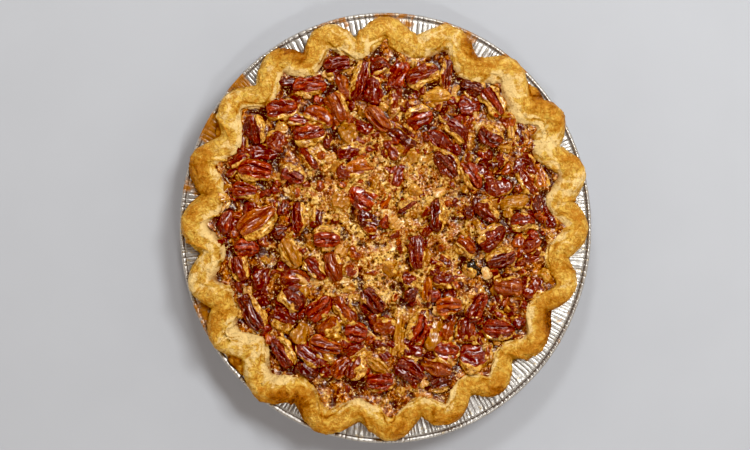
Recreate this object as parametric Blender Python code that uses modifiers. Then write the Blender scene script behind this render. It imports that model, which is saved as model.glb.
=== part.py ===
"""A pecan pie in its foil tin.

Metres, +Z up. The origin is on the surface the tin stands on, under the middle
of the tin. The tin, the fluted crust and the filling share one set of radii,
and every pecan half stands in a pocket of the filling.
"""

import random
from math import cos, hypot, pi, radians, sin, sqrt

import bmesh
import bpy
from mathutils import Matrix, Vector

# Tin: a nine inch foil tin, pressed slightly out of round.
TIN_RADIUS = 0.1144
TIN_OVAL = 0.0026
TIN_BASE_RADIUS = 0.0820
TIN_WALL_TOP_RADIUS = 0.0992
TIN_FLANGE_HEIGHT = 0.0280
TIN_SHEET = 0.0006
TIN_BASE_CURVE = 0.0030
TIN_BASE_CURVE_SHARE = 0.1
BEAD_RADIUS = 0.0014
BEAD_TURNS = (90, 45, 0, -45, -90, -150)
TIN_STEPS = 36

# Crust: dough that lines the tin and ends in a fluted rope on the flange.
CLEARANCE = 0.0003
LINING_CLEARANCE = 0.0007
DOUGH_THICKNESS = 0.0042
FLUTES = 20
SAMPLES_PER_FLUTE = 6
PATH_STEPS_PER_FLUTE = 60
ROPE_RADIUS = 0.1013
ROPE_SWING = 0.0048
ROPE_HALF_WIDTH = 0.0066
ROPE_HEIGHT = 0.0084
ROPE_ROUNDNESS = 2.6
ROPE_SHOULDER = 0.88
LINING_TOP_RADIUS = 0.0958
# Each wave: how many times it repeats round the rim, its size, where it peaks in degrees.
ROPE_DRIFT = ((1, 0.0013, 143), (2, 0.0019, 40), (3, 0.0013, 18))
FLUTE_DRIFT = ((1, 0.9, -57), (2, 0.8, -85), (4, 1.2, 0))
FLUTE_START = -1.0
# Where the inside of the crust has slumped: angle in degrees, how far inwards of the rope (mm),
# and the furthest out it lies (mm).
SLUMPS = (
    (0, 1.5, 96.0),
    (15, 2.5, 94.5),
    (33, 3.2, 95.0),
    (52, 3.0, 97.5),
    (72, 2.0, 101.0),
    (90, 1.4, 102.5),
    (106, 1.6, 103.0),
    (123, 1.5, 99.5),
    (141, 1.2, 98.0),
    (160, 2.5, 96.0),
    (175, 3.8, 95.0),
    (195, 2.8, 93.5),
    (213, 3.4, 93.0),
    (226, 3.8, 94.0),
    (236, 4.0, 99.5),
    (250, 2.0, 105.0),
    (272, 0.0, 103.0),
    (288, 0.0, 100.0),
    (306, -0.5, 101.0),
    (321, -0.8, 98.5),
    (342, -0.6, 99.5),
    (360, 1.5, 96.0),
)
# From which shares of the rope's height the crust is back at the rope, and how far out it runs by the crest.
SLUMP_FADES = 0.7
SLUMP_RISES = 0.5
SLUMP_RUN = 0.010

# Filling: a low dome of custard that comes up to the waterline on the rope.
WATERLINE = 0.58
FILLING_DOME = 0.0012
FILLING_RINGS = (0.55,)

# Pecan halves: where each lies (mm), its turn in degrees, its length and width (mm).
PECAN_THICKNESS = 0.0074
PECAN_RISE = 0.0014
PECAN_TILT = 16
PECAN_PITCH = PECAN_TILT / 3
POCKET_GROWTH = 0.0008
# The section of a half, as shares of half its width and of its thickness: three ridges, two grooves.
PECAN_SECTION = (
    (0.0, -0.50),
    (1.00, -0.22),
    (0.80, 0.30),
    (0.38, 0.32),
    (0.0, 0.50),
    (-0.38, 0.32),
    (-0.80, 0.30),
    (-1.00, -0.22),
)
PECAN_STATIONS = (-0.40, -0.15, 0.15, 0.40)
PECAN_BLUNTNESS = 0.55
PECAN_TAPER = 0.12
PECAN_TIP_DROP = 0.08
PECANS = (
    (-56, 64, 12, 17, 9),
    (-41, 76, 8, 18, 8),
    (-70, 53, 100, 17, 9),
    (-26, 88, 5, 15, 8),
    (-14, 80, 75, 23, 7),
    (-26, 65, 120, 18, 10),
    (-41, 50, 14, 17, 9),
    (-70, 31, -5, 19, 9),
    (-76, 20, 0, 13, 8),
    (-50, 29, -15, 13, 9),
    (-69, 3, 40, 24, 12),
    (-75, -11, -8, 13, 8),
    (-79, -22, 110, 15, 8),
    (-51, -14, 120, 17, 8),
    (-38, -22, 133, 15, 7),
    (-28, -21, 105, 16, 8),
    (-32, -5, 0, 15, 9),
    (-47, 6, 90, 17, 6),
    (-50, -38, 130, 14, 11),
    (-72, -45, 120, 23, 9),
    (-36, -43, 45, 16, 8),
    (-16, -56, -10, 13, 9),
    (-7, -39, 125, 17, 8),
    (-32, -63, -12, 18, 7),
    (-55, -67, 122, 18, 9),
    (-16, -75, 62, 14, 9),
    (-3, -83, -4, 15, 9),
    (13, -77, -28, 17, 10),
    (17, -54, 65, 16, 9),
    (34, -42, 5, 15, 8),
    (49, -42, 55, 16, 8),
    (61, -55, -5, 17, 9),
    (66, -31, 0, 16, 9),
    (62, -16, 22, 16, 8),
    (57, -5, 38, 17, 9),
    (43, -10, 145, 13, 8),
    (17, -13, 97, 19, 7),
    (28, 7, 88, 18, 7),
    (55, 9, 135, 14, 8),
    (74, 3, 5, 13, 8),
    (33, 34, 125, 18, 9),
    (46, 28, 120, 16, 8),
    (57, 50, 150, 14, 9),
    (58, 68, 120, 18, 9),
    (38, 52, 135, 15, 8),
    (18, 60, 20, 15, 9),
    (20, 82, 22, 18, 9),
    (-4, 59, 137, 17, 7),
)

SHARP_ANGLE = 50

ROPE_BASE = TIN_FLANGE_HEIGHT + CLEARANCE
FILLING_EDGE = ROPE_BASE + WATERLINE * ROPE_HEIGHT


def clear_scene():
    for thing in list(bpy.data.objects):
        bpy.data.objects.remove(thing, do_unlink=True)


def make_collection(name):
    collection = bpy.data.collections.new(name)
    bpy.context.scene.collection.children.link(collection)
    return collection


def make_material(name, colour, roughness, metallic=0.0):
    material = bpy.data.materials.new(name)
    material.use_nodes = True
    shader = material.node_tree.nodes["Principled BSDF"]
    shader.inputs["Base Color"].default_value = (*colour, 1)
    shader.inputs["Roughness"].default_value = roughness
    shader.inputs["Metallic"].default_value = metallic
    return material


def add_object(name, mesh, collection, material=None):
    thing = bpy.data.objects.new(name, mesh)
    collection.objects.link(thing)
    if material:
        mesh.materials.append(material)
    mesh.shade_smooth()
    mesh.set_sharp_from_angle(angle=radians(SHARP_ANGLE))
    return thing


def waves(angle_degrees, terms):
    """The sum of a few waves round the rim: each is (repeats, size, where it peaks)."""
    return sum(size * cos(radians(repeats * (angle_degrees - peak))) for repeats, size, peak in terms)


def tin_oval(angle_degrees):
    """How much further out than round the tin is: it is longest along Y."""
    return waves(angle_degrees, ((2, TIN_OVAL, 90),))


def point(radius, angle_degrees, height):
    return Vector((radius * cos(radians(angle_degrees)), radius * sin(radians(angle_degrees)), height))


def loft(name, rings, collection, material):
    """A closed solid through rings of equally many points, with a flat cap on the first and last."""
    mesh = bpy.data.meshes.new(name)
    shape = bmesh.new()
    loops = [[shape.verts.new(corner) for corner in ring] for ring in rings]
    count = len(loops[0])
    for low, high in zip(loops, loops[1:]):
        for i in range(count):
            j = (i + 1) % count
            shape.faces.new((low[i], low[j], high[j], high[i]))
    shape.faces.new(reversed(loops[0]))
    shape.faces.new(loops[-1])
    bmesh.ops.recalc_face_normals(shape, faces=shape.faces)
    shape.to_mesh(mesh)
    shape.free()
    return add_object(name, mesh, collection, material)


# --- tin ---------------------------------------------------------------------


def tin_profile():
    """The tin's section from its axis: along the floor, up the wall, over the bead and back underneath."""
    curve_radius = TIN_BASE_RADIUS + (TIN_WALL_TOP_RADIUS - TIN_BASE_RADIUS) * TIN_BASE_CURVE_SHARE
    bead_centre = TIN_RADIUS - BEAD_RADIUS
    bead_height = TIN_FLANGE_HEIGHT - BEAD_RADIUS
    inside = [
        (0, TIN_SHEET),
        (TIN_BASE_RADIUS - TIN_SHEET, TIN_SHEET),
        (curve_radius, TIN_BASE_CURVE + TIN_SHEET),
        (TIN_WALL_TOP_RADIUS, TIN_FLANGE_HEIGHT),
    ]
    bead = []
    for turn in BEAD_TURNS:
        across = bead_centre + BEAD_RADIUS * cos(radians(turn))
        bead.append((across, bead_height + BEAD_RADIUS * sin(radians(turn))))
    outside = [
        (bead_centre - BEAD_RADIUS, TIN_FLANGE_HEIGHT - TIN_SHEET),
        (TIN_WALL_TOP_RADIUS + TIN_SHEET, TIN_FLANGE_HEIGHT - TIN_SHEET),
        (curve_radius + TIN_SHEET, TIN_BASE_CURVE),
        (TIN_BASE_RADIUS, 0),
        (0, 0),
    ]
    return inside + bead + outside


def make_tin(collection):
    """The section turned once round, then drawn out along Y and in along X."""
    mesh = bpy.data.meshes.new("tin")
    shape = bmesh.new()
    corners = [shape.verts.new((radius, 0, height)) for radius, height in tin_profile()]
    for low, high in zip(corners, corners[1:]):
        shape.edges.new((low, high))
    shape.to_mesh(mesh)
    shape.free()
    foil = make_material("foil", (0.62, 0.62, 0.62), 0.3, 1.0)
    tin = add_object("tin", mesh, collection, foil)
    tin.scale = (1 - TIN_OVAL / TIN_RADIUS, 1 + TIN_OVAL / TIN_RADIUS, 1)
    turned = tin.modifiers.new("turned", "SCREW")
    turned.steps = TIN_STEPS
    turned.render_steps = TIN_STEPS
    turned.use_merge_vertices = True
    turned.merge_threshold = 0.00005
    return tin


# --- crust -------------------------------------------------------------------


def rim_angles():
    """The angle of each column of points round the rim, closer together where the flutes are."""
    count = FLUTES * SAMPLES_PER_FLUTE
    angles = []
    for column in range(count):
        even = 360 * column / count
        angles.append(even + FLUTE_START + waves(even, FLUTE_DRIFT))
    return angles


def rope_path():
    """Points close together along the middle of the fluted rope, seen from above."""
    path = []
    count = FLUTES * PATH_STEPS_PER_FLUTE
    for step in range(count):
        even = 360 * step / count
        angle = even + FLUTE_START + waves(even, FLUTE_DRIFT)
        radius = ROPE_RADIUS + tin_oval(angle) + waves(angle, ROPE_DRIFT)
        radius += ROPE_SWING * cos(radians(FLUTES * even))
        path.append(point(radius, angle, 0))
    return path


def rope_edge(angle, half_width, side, path):
    """Where the rope ends along one direction: side is 1 for its outer edge, -1 for its inner edge.

    The rope is as wide as a ball that rolls along its middle, so it is round where it
    bends outwards and creased where it folds together.
    """
    along = point(1, angle, 0)
    reached = []
    for middle in path:
        ahead = middle.dot(along)
        aside = middle.length_squared - ahead * ahead
        if ahead > 0 and aside <= half_width * half_width:
            reached.append(ahead + side * sqrt(half_width * half_width - aside))
    return max(reached) if side > 0 else min(reached)


def rope_half_width(rise):
    """Half the rope's width at a share of its height, from 0 on the flange to 1 at the crest."""
    return ROPE_HALF_WIDTH * (1 - rise**ROPE_ROUNDNESS) ** (1 / ROPE_ROUNDNESS)


def smooth_step(low, high, value):
    """0 below low and 1 above high, with a smooth change between them."""
    share = min(1, max(0, (value - low) / (high - low)))
    return share * share * (3 - 2 * share)


def slump(angle_degrees):
    """How far the inside of the crust has slumped there, and the furthest out it lies, in metres."""
    where = angle_degrees % 360
    for (before, inwards, furthest), (after, next_inwards, next_furthest) in zip(SLUMPS, SLUMPS[1:]):
        if where <= after:
            share = (where - before) / (after - before)
            inwards += share * (next_inwards - inwards)
            furthest += share * (next_furthest - furthest)
            break
    return inwards / 1000, furthest / 1000


def inner_edge(rise, angle, path):
    """The rope's inner edge, slumped inwards below its crest and never through the tin's wall."""
    inwards, furthest = slump(angle)
    edge = rope_edge(angle, rope_half_width(rise), -1, path)
    edge -= inwards * (1 - smooth_step(SLUMP_FADES, 1, rise))
    wall = LINING_TOP_RADIUS + tin_oval(angle) + rise * DOUGH_THICKNESS
    return min(edge, min(wall, furthest) + SLUMP_RUN * smooth_step(SLUMP_RISES, 1, rise))


def rope_ring(rise, side, angles, path):
    """One ring of points on the rope, all at one height."""
    ring = []
    for angle in angles:
        if side < 0:
            radius = inner_edge(rise, angle, path)
        else:
            radius = rope_edge(angle, rope_half_width(rise), side, path)
        ring.append(point(radius, angle, ROPE_BASE + rise * ROPE_HEIGHT))
    return ring


def crest_ring(angles):
    """The top of the rope, right over its middle."""
    ring = []
    for column, angle in enumerate(angles):
        radius = ROPE_RADIUS + tin_oval(angle) + waves(angle, ROPE_DRIFT)
        radius += ROPE_SWING * cos(2 * pi * column / SAMPLES_PER_FLUTE)
        ring.append(point(radius, angle, ROPE_BASE + ROPE_HEIGHT))
    return ring


def lining_ring(radius, height, angles):
    return [point(radius + tin_oval(angle) * radius / TIN_RADIUS, angle, height) for angle in angles]


def make_crust(collection, angles, path):
    """From the dough's inner floor, up its wall, over the rope and down the tin's wall."""
    floor = TIN_SHEET + CLEARANCE
    inner_base = TIN_BASE_RADIUS - DOUGH_THICKNESS
    wall_top = TIN_WALL_TOP_RADIUS - LINING_CLEARANCE
    rings = [lining_ring(inner_base, floor + DOUGH_THICKNESS, angles)]
    rings += [rope_ring(rise, -1, angles, path) for rise in (0, WATERLINE, ROPE_SHOULDER)]
    rings.append(crest_ring(angles))
    rings += [rope_ring(rise, 1, angles, path) for rise in (ROPE_SHOULDER, WATERLINE, 0)]
    rings.append(lining_ring(wall_top, ROPE_BASE, angles))
    rings.append(lining_ring(TIN_BASE_RADIUS - LINING_CLEARANCE * 2, floor, angles))
    pastry = make_material("baked pastry", (0.72, 0.46, 0.14), 0.6)
    return loft("crust", rings, collection, pastry)


# --- filling -----------------------------------------------------------------


def filling_height(radius):
    """The custard's level: a low dome that meets the crust at the waterline."""
    share = radius / LINING_TOP_RADIUS
    return FILLING_EDGE + FILLING_DOME * (1 - share * share)


def drawn_in(ring, distance):
    """The ring moved towards the axis by one distance."""
    moved = []
    for corner in ring:
        length = hypot(corner.x, corner.y)
        share = (length - distance) / length
        moved.append(Vector((corner.x * share, corner.y * share, corner.z)))
    return moved


def make_filling(collection, angles, path):
    floor = TIN_SHEET + CLEARANCE * 2 + DOUGH_THICKNESS
    rings = [lining_ring(TIN_BASE_RADIUS - DOUGH_THICKNESS - LINING_CLEARANCE, floor, angles)]
    for rise in (0, WATERLINE):
        rings.append(drawn_in(rope_ring(rise, -1, angles, path), LINING_CLEARANCE))
    for share in FILLING_RINGS:
        radius = LINING_TOP_RADIUS * share
        rings.append(lining_ring(radius, filling_height(radius), angles))
    custard = make_material("caramel custard", (0.42, 0.19, 0.05), 0.3)
    return loft("filling", rings, collection, custard)


# --- pecans ------------------------------------------------------------------


def pecan_mesh(name, length, width, thickness):
    """Half a pecan, dome up and long way along X: three ridges with two grooves between them."""
    mesh = bpy.data.meshes.new(name)
    shape = bmesh.new()
    rings = []
    for share in PECAN_STATIONS:
        fullness = (1 - (2 * share) ** 2) ** PECAN_BLUNTNESS * (1 - PECAN_TAPER * share)
        ring = []
        for across, up in PECAN_SECTION:
            corner = (share * length, across * fullness * width / 2, up * fullness * thickness)
            ring.append(shape.verts.new(corner))
        rings.append(ring)
    tips = [shape.verts.new((side * length / 2, 0, -PECAN_TIP_DROP * thickness)) for side in (-1, 1)]
    count = len(PECAN_SECTION)
    for near, far in zip(rings, rings[1:]):
        for i in range(count):
            j = (i + 1) % count
            shape.faces.new((near[i], near[j], far[j], far[i]))
    for i in range(count):
        j = (i + 1) % count
        shape.faces.new((tips[0], rings[0][j], rings[0][i]))
        shape.faces.new((tips[1], rings[-1][i], rings[-1][j]))
    bmesh.ops.recalc_face_normals(shape, faces=shape.faces)
    shape.to_mesh(mesh)
    shape.free()
    return mesh


def pecan_places():
    """The place of each pecan half: half sunk in the custard and a little tilted."""
    chance = random.Random(9)
    places = []
    for across, up, turn, length, width in PECANS:
        x, y = across / 1000, up / 1000
        spot = Matrix.Translation((x, y, filling_height(hypot(x, y)) + PECAN_RISE))
        roll = Matrix.Rotation(radians(chance.uniform(-PECAN_TILT, PECAN_TILT)), 4, "X")
        pitch = Matrix.Rotation(radians(chance.uniform(-PECAN_PITCH, PECAN_PITCH)), 4, "Y")
        placed = spot @ Matrix.Rotation(radians(turn), 4, "Z") @ pitch @ roll
        places.append((placed, length / 1000, width / 1000))
    return places


def make_pecans(collection, cutters):
    """Each pecan half, and a cutter one clearance larger all round for its pocket."""
    nut = make_material("pecan", (0.28, 0.08, 0.03), 0.3)
    for number, (placed, length, width) in enumerate(pecan_places(), 1):
        name = f"pecan_{number:02d}"
        mesh = pecan_mesh(name, length, width, PECAN_THICKNESS)
        pecan = add_object(name, mesh, collection, nut)
        pecan.matrix_world = placed
        grown = [size + POCKET_GROWTH for size in (length, width, PECAN_THICKNESS)]
        pocket = add_object(f"pocket_{number:02d}", pecan_mesh(f"pocket_{number:02d}", *grown), cutters)
        pocket.matrix_world = placed
        pocket.hide_render = True
        pocket.display_type = "WIRE"


def cut_pockets(filling, cutters):
    pockets = filling.modifiers.new("pockets", "BOOLEAN")
    pockets.operation = "DIFFERENCE"
    pockets.solver = "EXACT"
    pockets.operand_type = "COLLECTION"
    pockets.collection = cutters


def main():
    clear_scene()
    pie = make_collection("pecan_pie")
    cutters = make_collection("cutters")
    cutters.hide_render = True
    angles = rim_angles()
    path = rope_path()
    make_tin(pie)
    make_crust(pie, angles, path)
    filling = make_filling(pie, angles, path)
    make_pecans(pie, cutters)
    cut_pockets(filling, cutters)


main()
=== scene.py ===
"""The looks of a pecan pie in its foil tin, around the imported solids.

Metres, in the frame of the solids: +Z up, origin on the surface under the tin.
Angles are in degrees and turn from +X towards +Y.
"""

import bpy
import numpy as np
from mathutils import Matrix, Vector


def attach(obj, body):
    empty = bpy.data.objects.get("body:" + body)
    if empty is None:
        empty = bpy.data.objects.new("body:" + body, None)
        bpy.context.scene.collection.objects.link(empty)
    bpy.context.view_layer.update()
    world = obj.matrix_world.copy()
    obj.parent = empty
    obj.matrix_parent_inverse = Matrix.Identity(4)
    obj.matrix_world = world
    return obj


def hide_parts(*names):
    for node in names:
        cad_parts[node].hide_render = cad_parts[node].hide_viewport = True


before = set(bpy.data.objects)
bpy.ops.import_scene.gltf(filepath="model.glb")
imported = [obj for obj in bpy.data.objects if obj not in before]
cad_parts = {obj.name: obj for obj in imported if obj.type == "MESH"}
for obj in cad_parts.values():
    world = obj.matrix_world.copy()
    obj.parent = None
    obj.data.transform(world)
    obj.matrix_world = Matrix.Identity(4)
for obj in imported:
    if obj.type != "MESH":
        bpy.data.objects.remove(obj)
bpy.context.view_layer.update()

MM = 0.001

# Camera: straight above, with the pie a little right of and below the middle.
PICTURE_WIDTH = 407.2 * MM
PICTURE_CENTRE = (-5.7 * MM, 1.6 * MM)
CAMERA_LENS = 85
SENSOR_WIDTH = 36

# How the picture is graded.
LOOK = "Medium High Contrast"
BLACK_LEVEL = (0.002, 0.018, 0.022)

# Soft lamps that face the pie: name, place, size and watts.
LAMPS = (
    ("window", (0.50, 0.42, 1.25), 0.34, 10.0),
    ("back lamp", (-0.04, 0.56, 0.8), 0.15, 2.2),
    ("front lamp", (0.20, -0.46, 1.25), 0.12, 2.2),
)
# The sky is bright low down and dim overhead: where it changes, and how strong it is there.
SKY_COLOUR = (1.0, 0.95, 0.87, 1)
SKY_RAMP = (("From Min", 0.3), ("From Max", 0.85), ("To Min", 1.06), ("To Max", 0.1))
WORKTOP_REACH = 3.0

# The tin's measures, which the solid shares.
TIN_RADIUS = 114.4 * MM
TIN_OVAL = 2.6 * MM
TIN_BASE_RADIUS = 82.0 * MM
WALL_TOP_RADIUS = 99.2 * MM
FLANGE_HEIGHT = 28.0 * MM

# The fluted rope's measures, which the solid shares. A drift is a few waves round the rim, each
# with how often it repeats, its size and where it peaks.
FLUTES = 20
ROPE_RADIUS = 101.3 * MM
ROPE_SWING = 4.8 * MM
ROPE_HALF_WIDTH = 6.6 * MM
ROPE_HEIGHT = 8.4 * MM
ROPE_ROUNDNESS = 2.6
LINING_TOP_RADIUS = 95.8 * MM
DOUGH_THICKNESS = 4.2 * MM
DOUGH_UNDERSIDE = 0.9 * MM
DOUGH_FLOOR = 5.1 * MM
LINING_GAP = 0.7 * MM
ROPE_BASE = FLANGE_HEIGHT + 0.3 * MM
ROPE_DRIFT = ((1, 1.3 * MM, 143), (2, 1.9 * MM, 40), (3, 1.3 * MM, 18))
FLUTE_DRIFT = ((1, 0.9, -57), (2, 0.8, -85), (4, 1.2, 0))
FLUTE_START = -1.0
ROPE_COLUMNS = 1200
ROPE_ROWS = 28
CREST_ROW = ROPE_ROWS + 1

# The custard's level, which the solid shares, and how finely its surface is made.
WATERLINE = 0.58
FILLING_EDGE = ROPE_BASE + WATERLINE * ROPE_HEIGHT
FILLING_DOME = 1.2 * MM
CUSTARD_CELL = 0.62 * MM
FOAM_CENTRE = (-4 * MM, 3 * MM)
FOAM_RADII = (47 * MM, 46 * MM)

PECAN_THICKNESS = 7.4 * MM
SMALL_PECAN_THICKNESS = 6.8 * MM

# Noise repeats after this many cells. Its sums are stretched or shrunk to about -1 to 1.
NOISE_PERIOD = 64
NOISE_STRETCH = 1.4
LAYERS_SHRINK = 1.6


# --- shared helpers ---


def smooth_step(low, high, value):
    """0 below low, 1 above high, and a smooth rise between them."""
    share = np.clip((value - low) / (high - low), 0, 1)
    return share * share * (3 - 2 * share)


def noise(points, size, seed):
    """Smooth random values from about -1 to 1 that change over one size. A seed gives the same ones."""
    table = np.random.default_rng(seed).uniform(-1, 1, (NOISE_PERIOD,) * 3)
    cell = np.asarray(points) / size
    low = np.floor(cell).astype(int)
    part = cell - low
    part = part * part * (3 - 2 * part)
    total = np.zeros(cell.shape[:-1])
    for corner in np.ndindex(2, 2, 2):
        index = (low + corner) % NOISE_PERIOD
        weight = np.prod(np.where(corner, part, 1 - part), axis=-1)
        total += table[index[..., 0], index[..., 1], index[..., 2]] * weight
    return total * NOISE_STRETCH


def layered_noise(points, size, seed, layers=3):
    """Noise with finer and weaker noise on top."""
    total = sum(noise(points, size / 2**layer, seed + layer) / 2**layer for layer in range(layers))
    return total / LAYERS_SHRINK


def waves(angles, terms):
    """The sum of a few waves round the rim: each is (repeats, size, where it peaks)."""
    return sum(size * np.cos(np.radians(repeats * (angles - peak))) for repeats, size, peak in terms)


def tin_oval(angles):
    """How much further out than round the tin is: it is longest along Y."""
    return waves(angles, ((2, TIN_OVAL, 90),))


def polar(radii, angles, heights):
    """Points from radii, angles and heights."""
    turn = np.radians(angles)
    flat = np.zeros(np.broadcast(radii, turn, heights).shape)
    return np.stack([radii * np.cos(turn) + flat, radii * np.sin(turn) + flat, heights + flat], axis=-1)


def angle_of(points):
    return np.degrees(np.arctan2(points[..., 1], points[..., 0])) % 360


def ring_faces(rows, columns):
    """Quads between the points of a grid whose last column meets its first."""
    row, column = np.mgrid[0 : rows - 1, 0:columns]
    after = (column + 1) % columns
    corners = [row * columns + column, row * columns + after]
    corners += [(row + 1) * columns + after, (row + 1) * columns + column]
    return np.stack(corners, axis=-1).reshape(-1, 4)


def ring_normals(grid):
    """Unit normals of a grid of points whose last column meets its first."""
    along = np.roll(grid, -1, axis=1) - np.roll(grid, 1, axis=1)
    across = np.gradient(grid, axis=0)
    normal = np.cross(along, across)
    return normal / np.maximum(np.linalg.norm(normal, axis=-1, keepdims=True), 1e-12)


def make_piece(name, points, faces, material, traits, uv=None):
    """A smooth mesh that rides on the pie, with per-point traits that its material reads."""
    mesh = bpy.data.meshes.new(name)
    mesh.from_pydata(np.asarray(points).reshape(-1, 3).tolist(), [], faces.tolist())
    for trait, values in traits.items():
        kind, field = ("FLOAT_VECTOR", "vector") if trait == "seat" else ("FLOAT", "value")
        layer = mesh.attributes.new(trait, kind, "POINT")
        layer.data.foreach_set(field, np.asarray(values, np.float32).ravel())
    if uv is not None:
        corners = np.empty(len(mesh.loops), np.int32)
        mesh.loops.foreach_get("vertex_index", corners)
        layer = mesh.uv_layers.new(name="OFBake")
        layer.data.foreach_set("uv", np.asarray(uv, np.float32).reshape(-1, 2)[corners].ravel())
    mesh.materials.append(material)
    mesh.shade_smooth()
    piece = bpy.data.objects.new(name, mesh)
    bpy.context.scene.collection.objects.link(piece)
    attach(piece, "root")
    return piece


# --- materials ---


# Colours, 0 to 255.
COLOURS = {
    "foil shade": (152, 149, 144),
    "foil light": (204, 200, 194),
    "grease": (198, 172, 118),
    # Painted shade for the foil's creases, gutter and bead edge.
    "painted crease shade": (44, 37, 30),
    # Painted light for the tin's base, outer wall and flange underside, which lie in shade.
    "foil outside painted light": (232, 230, 226),
    "baked syrup": (104, 58, 10),
    "thin syrup": (186, 128, 46),
    "dough cream": (236, 203, 140),
    "pale dough": (221, 180, 90),
    "golden dough": (201, 147, 60),
    "toasted dough": (134, 78, 18),
    "scorched dough": (82, 44, 12),
    "dough vein": (172, 106, 28),
    "dough fleck": (150, 86, 18),
    "soaked dough": (118, 54, 4),
    "dark custard": (100, 36, 4),
    "light custard": (188, 116, 38),
    "dark foam": (154, 94, 18),
    "light foam": (218, 174, 94),
    "amber foam": (150, 64, 6),
    "froth": (244, 216, 148),
    # Dimples: partly the custard's own darker colour, partly painted shade.
    "dimple": (96, 42, 0),
    # Painted shade where the custard lies low and beside the nuts.
    "painted_low_shade": (66, 22, 2),
    # Fine flecks on the custard: painted shade and painted glints.
    "custard fleck painted shade": (60, 18, 0),
    "custard fleck painted glint": (250, 214, 150),
    # Burst bubbles: partly the custard's own darker colour, partly painted shade.
    "burst bubble": (70, 28, 0),
    "dark clinging foam": (142, 82, 8),
    "light clinging foam": (228, 180, 92),
    # Fine flecks on the nuts: painted shade and painted glints.
    "nut fleck painted shade": (44, 4, 0),
    "nut fleck painted glint": (238, 154, 92),
    "worktop shade": (173, 176, 181),
    "worktop light": (178, 181, 186),
}
# The dark and the light skin of each kind of pecan.
PECAN_SKINS = {
    "red": ((98, 14, 0), (168, 58, 12)),
    "dark": ((78, 14, 0), (136, 42, 6)),
    "brown": ((110, 28, 0), (192, 98, 26)),
    "orange": ((128, 50, 4), (206, 128, 44)),
    "golden": ((158, 100, 22), (222, 172, 86)),
    "cream": ((196, 140, 70), (246, 222, 166)),
    "burnt": ((12, 20, 18), (52, 66, 54)),
}


def linear(colour):
    """A colour of 0 to 255 as the shader wants it."""
    share = np.array(colour) / 255
    return (*np.where(share < 0.04045, share / 12.92, ((share + 0.055) / 1.055) ** 2.4), 1.0)


def paint(name):
    return linear(COLOURS[name])


class Recipe:
    """A material under construction: its methods add nodes and give back their output.

    Sizes and distances are in millimetres.
    """

    def __init__(self, name, roughness, metallic=0.0, coat=0.0, coat_roughness=0.05, specular=0.5):
        self.material = bpy.data.materials.new(name)
        self.material.use_nodes = True
        self.tree = self.material.node_tree
        self.shader = self.tree.nodes["Principled BSDF"]
        self.shader.inputs["Roughness"].default_value = roughness
        self.shader.inputs["Metallic"].default_value = metallic
        self.shader.inputs["Coat Weight"].default_value = coat
        self.shader.inputs["Coat Roughness"].default_value = coat_roughness
        self.shader.inputs["Specular IOR Level"].default_value = specular

    def node(self, kind, inputs, **settings):
        """A new node's outputs: each of its inputs is linked, or set to a plain value."""
        made = self.tree.nodes.new(kind)
        for setting, value in settings.items():
            setattr(made, setting, value)
        for name, value in inputs.items():
            self.feed(made.inputs[name], value)
        return made.outputs

    def feed(self, socket, value):
        if isinstance(value, bpy.types.NodeSocket):
            self.tree.links.new(value, socket)
        else:
            socket.default_value = value

    def place(self):
        return self.node("ShaderNodeTexCoord", {})["Object"]

    def trait(self, name):
        return self.node("ShaderNodeAttribute", {}, attribute_name=name)["Fac"]

    def seat(self):
        """Places on a nut, squeezed along its length so that grain runs lengthwise."""
        return self.node("ShaderNodeAttribute", {}, attribute_name="seat")["Vector"]

    def grain(self, size, detail=3.0, roughness=0.55, distortion=0.0, where=None):
        """Noise from 0 to 1 that changes over about one size."""
        inputs = {"Vector": where or self.place(), "Scale": 1 / (size * MM), "Detail": detail}
        inputs |= {"Roughness": roughness, "Distortion": distortion}
        return self.node("ShaderNodeTexNoise", inputs)["Fac"]

    def dots(self, size):
        """The distance to the nearest of many scattered points, as a share of their spacing."""
        inputs = {"Vector": self.place(), "Scale": 1 / (size * MM)}
        return self.node("ShaderNodeTexVoronoi", inputs)["Distance"]

    def math(self, operation, first, second=0.0):
        return self.node("ShaderNodeMath", {0: first, 1: second}, operation=operation)[0]

    def plus(self, first, second):
        return self.math("ADD", first, second)

    def times(self, first, second):
        return self.math("MULTIPLY", first, second)

    def between(self, value, low, high):
        """0 below low, 1 above high; low may be the larger one to turn it round."""
        inputs = {"Value": value, "From Min": low, "From Max": high}
        return self.node("ShaderNodeMapRange", inputs, interpolation_type="SMOOTHSTEP")["Result"]

    def blend(self, share, first, second):
        """The first colour where share is 0 and the second where it is 1."""
        return self.node("ShaderNodeMix", {0: share, 6: first, 7: second}, data_type="RGBA")[2]

    def painted_glints_and_shade(self, colour, dark, light, strength):
        """The colour with fine dark flecks of painted shade and light flecks of painted glints in it."""
        fine = self.grain(1.2, 2, 0.6, 0.4)
        painted_hollow_shade = self.times(self.between(fine, 0.46, 0.36), 0.7 * strength)
        painted_glints = self.times(self.between(fine, 0.58, 0.66), 0.65 * strength)
        return self.blend(painted_glints, self.blend(painted_hollow_shade, colour, dark), light)

    def dimpled(self, colour):
        """The colour with the fine dark dimples of foam in it, dark partly in the custard's own colour
        and partly as painted shade.
        """
        dimples = self.between(self.grain(1.2, 3, 0.7), 0.46, 0.3)
        return self.blend(self.times(dimples, 0.5), colour, paint("dimple"))

    def bumps(self, height, distance, under=None):
        """Relief as deep as the distance, on top of other bumps if there are any under it."""
        inputs = {"Height": height, "Distance": distance * MM}
        if under:
            inputs["Normal"] = under
        return self.node("ShaderNodeBump", inputs)["Normal"]

    def finish(self, colour, normal=None):
        """The material, with this colour and these bumps."""
        self.feed(self.shader.inputs["Base Color"], colour)
        if normal:
            self.feed(self.shader.inputs["Normal"], normal)
        return self.material


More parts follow.
